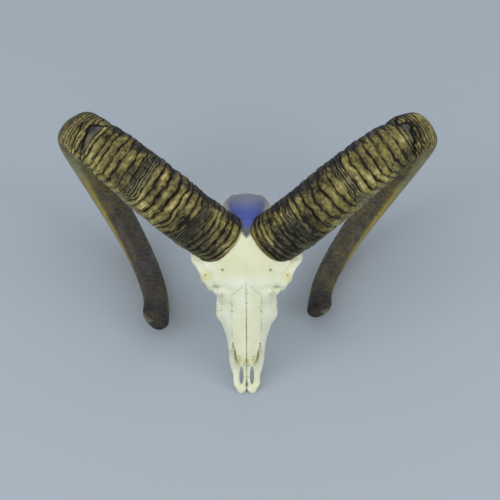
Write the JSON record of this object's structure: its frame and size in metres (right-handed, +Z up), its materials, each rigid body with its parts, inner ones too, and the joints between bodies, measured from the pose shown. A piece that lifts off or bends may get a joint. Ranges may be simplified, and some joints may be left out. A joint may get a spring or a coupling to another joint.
{
  "type": "ram skull",
  "caption": "Bleached ram skull without lower jaw, with ridged horns that curl back, down and forward; it lies on its muzzle and on the bends of the horns.",
  "frame": {"origin": "centre of the resting box on the floor: bottom centre of the bounding box", "axes": "+Z up from the floor, +X to the animal's left, +Y from the muzzle towards the back of the skull"},
  "size_m": [0.465, 0.2922, 0.2848],
  "materials": {
    "bone": "dry bleached bone, pale cream with a green-yellow cast, matt with fine pores, blue-grey stain behind the horns",
    "horn": "weathered horn keratin, olive brown, close cross ridges with near-black grooves, darker towards the tip"
  },
  "bodies": {
    "root": {"braincase": "bone", "frontal": "bone", "nasal_left": "bone", "nasal_right": "bone", "premaxilla_left": "bone", "premaxilla_right": "bone", "zygomatic_left": "bone", "zygomatic_right": "bone", "maxilla_left": "bone", "maxilla_right": "bone", "horn_left": "horn", "horn_right": "horn"}
  },
  "joints": []
}
